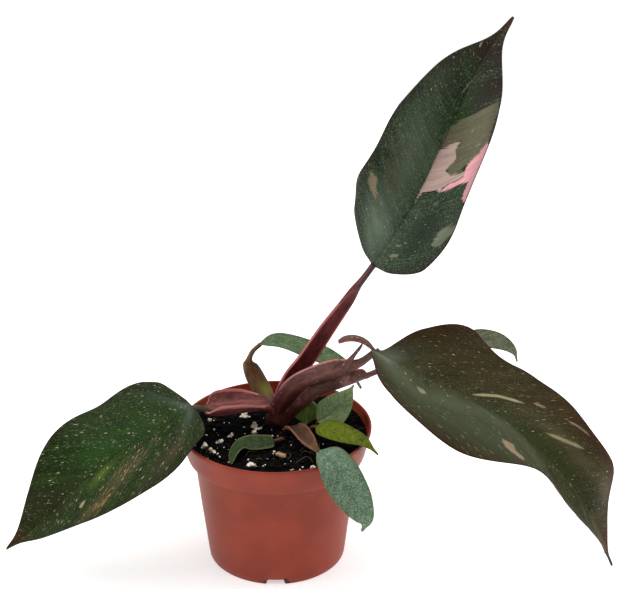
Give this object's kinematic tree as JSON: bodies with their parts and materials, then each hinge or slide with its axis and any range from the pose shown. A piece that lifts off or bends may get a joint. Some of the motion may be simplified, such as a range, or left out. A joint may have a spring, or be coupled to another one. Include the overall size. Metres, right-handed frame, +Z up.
{
  "type": "potted philodendron",
  "caption": "Young variegated philodendron with large drooping leaves on sheathed stalks, growing in a tapered plastic nursery pot of dark potting mix.",
  "frame": {"origin": "middle of the pot's underside, on the surface it stands on", "axes": "+Z up along the pot's axis; +X towards the side where the largest leaf hangs; -Y towards the front"},
  "size_m": [0.3736, 0.175, 0.3446],
  "materials": {
    "pot": "satin terracotta-coloured plastic",
    "mix": "dark moist potting mix",
    "perlite": "cream, rough",
    "bark": "rough bark",
    "root": "matt root",
    "stem": "dark purple, slightly shiny",
    "stalk": "burgundy, satin",
    "brown_stalk": "brown, matt",
    "leaf": "dark green, satin",
    "small_leaf": "fresh green, satin",
    "yellow_leaf": "yellow-green, satin"
  },
  "bodies": {
    "root": {"pot": "pot", "potting_mix": "mix", "main_stem": "stem", "root_1": "root", "root_2": "root", "root_3": "root", "root_4": "root", "root_5": "root", "left_stalk": "stalk", "top_stalk": "stalk", "right_stalk": "stalk", "back_right_stalk": "stalk", "back_left_stalk": "brown_stalk", "front_stalk": "brown_stalk", "yellow_leaf_stalk": "brown_stalk", "round_leaf_stalk": "brown_stalk", "curled_leaf_stalk": "brown_stalk", "rolled_leaf": "small_leaf", "top_leaf": "leaf", "left_leaf": "leaf", "right_leaf": "leaf", "back_left_leaf": "leaf", "back_right_leaf": "leaf", "front_leaf": "small_leaf", "yellow_leaf": "yellow_leaf", "round_leaf": "small_leaf", "curled_leaf": "small_leaf", "perlite_1": "perlite", "perlite_2": "perlite", "perlite_3": "perlite", "perlite_4": "perlite", "perlite_5": "perlite", "perlite_6": "perlite", "perlite_7": "perlite", "perlite_8": "perlite", "perlite_9": "perlite", "perlite_10": "perlite", "bark_chip": "bark"}
  },
  "joints": []
}
